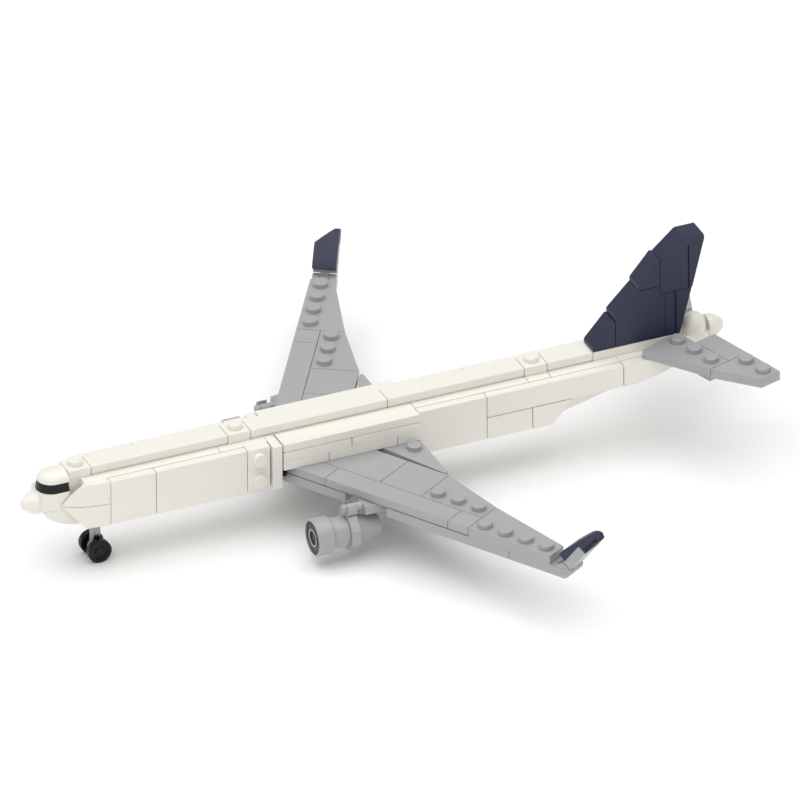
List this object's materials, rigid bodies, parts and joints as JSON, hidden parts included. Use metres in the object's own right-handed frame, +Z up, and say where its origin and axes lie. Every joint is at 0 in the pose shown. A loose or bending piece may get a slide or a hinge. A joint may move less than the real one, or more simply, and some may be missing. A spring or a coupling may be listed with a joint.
{
  "type": "desktop airliner model",
  "caption": "Desktop airliner assembled from interlocking moulded bricks, with swept studded wings, canted winglets, hinged engines and rolling landing gear.",
  "frame": {"origin": "on the table under the fuselage centreline, midway between nose tip and stabiliser tips", "axes": "+X towards the nose, +Y to the port side, +Z up"},
  "size_m": [0.2494, 0.2156, 0.0714],
  "materials": {
    "white_plastic": "smooth moulded ABS, warm white",
    "grey_plastic": "smooth moulded ABS, light bluish grey",
    "dark_blue_plastic": "smooth moulded ABS, dark blue",
    "black_plastic": "smooth moulded ABS, black"
  },
  "bodies": {
    "airframe": {"belly_wedge": "white_plastic", "canopy": "white_plastic", "centre_core": "white_plastic", "cheeks_left": "white_plastic", "cheeks_right": "white_plastic", "core_side_plates": "white_plastic", "engine_pylon_left": "grey_plastic", "engine_pylon_right": "grey_plastic", "fairing_left": "white_plastic", "fairing_right": "white_plastic", "fin_base_plate": "white_plastic", "fin_middle": "dark_blue_plastic", "fin_rear": "dark_blue_plastic", "fin_slope_front": "dark_blue_plastic", "fin_slope_upper": "dark_blue_plastic", "fin_top": "dark_blue_plastic", "front_core": "white_plastic", "front_side_tiles_left": "white_plastic", "front_side_tiles_right": "white_plastic", "main_gear_struts": "grey_plastic", "nose_belly": "white_plastic", "nose_block": "white_plastic", "nose_cone": "white_plastic", "nose_strut": "grey_plastic", "rear_core": "white_plastic", "rear_side_tiles_left": "white_plastic", "rear_side_tiles_right": "white_plastic", "ridge_jumpers": "white_plastic", "ridge_tiles": "white_plastic", "ring_plate": "white_plastic", "side_stud_plates": "white_plastic", "stabiliser_left": "grey_plastic", "stabiliser_right": "grey_plastic", "tail_cone": "white_plastic", "tail_dome": "white_plastic", "windshield": "black_plastic", "wing_fillers": "grey_plastic", "wing_inner_wedge_left": "grey_plastic", "wing_inner_wedge_right": "grey_plastic", "wing_outer_wedge_left": "grey_plastic", "wing_outer_wedge_right": "grey_plastic", "wing_plates_left": "grey_plastic", "wing_plates_right": "grey_plastic", "wing_tiles_left": "grey_plastic", "wing_tiles_right": "grey_plastic"},
    "winglet_left": {"winglet_hinge_left": "grey_plastic", "winglet_blade_left": "dark_blue_plastic"},
    "engine_left": {"engine_cowl_left": "grey_plastic", "engine_fan_left": "black_plastic", "engine_bracket_left": "grey_plastic", "engine_rear_left": "grey_plastic"},
    "main_wheels_left": {"main_wheels_left": "black_plastic"},
    "winglet_right": {"winglet_hinge_right": "grey_plastic", "winglet_blade_right": "dark_blue_plastic"},
    "engine_right": {"engine_cowl_right": "grey_plastic", "engine_fan_right": "black_plastic", "engine_bracket_right": "grey_plastic", "engine_rear_right": "grey_plastic"},
    "main_wheels_right": {"main_wheels_right": "black_plastic"},
    "nose_wheels": {"nose_wheels": "black_plastic"}
  },
  "joints": [
    {"name": "winglet_left_hinge", "type": "hinge", "parent": "airframe", "child": "winglet_left", "pos_m": [-0.02492, 0.09842, 0.0196], "axis": [0.8513, 0.5247, 0], "range_deg": [-40, 25]},
    {"name": "winglet_right_hinge", "type": "hinge", "parent": "airframe", "child": "winglet_right", "pos_m": [-0.02492, -0.09842, 0.0196], "axis": [-0.8513, 0.5247, 0], "range_deg": [-40, 25]},
    {"name": "engine_left_swing", "type": "hinge", "parent": "airframe", "child": "engine_left", "pos_m": [0.02451, 0.0345, 0.0186], "axis": [1, 0, 0], "range_deg": [-15, 15]},
    {"name": "engine_right_swing", "type": "hinge", "parent": "airframe", "child": "engine_right", "pos_m": [0.02451, -0.0345, 0.0186], "axis": [1, 0, 0], "range_deg": [-15, 15]},
    {"name": "nose_wheels_spin", "type": "hinge", "parent": "airframe", "child": "nose_wheels", "pos_m": [0.09871, 0, 0.004], "axis": [0, 1, 0], "continuous": true},
    {"name": "main_wheels_left_spin", "type": "hinge", "parent": "airframe", "child": "main_wheels_left", "pos_m": [-0.01049, 0.008, 0.004], "axis": [0, 1, 0], "continuous": true},
    {"name": "main_wheels_right_spin", "type": "hinge", "parent": "airframe", "child": "main_wheels_right", "pos_m": [-0.01049, -0.008, 0.004], "axis": [0, 1, 0], "continuous": true}
  ]
}
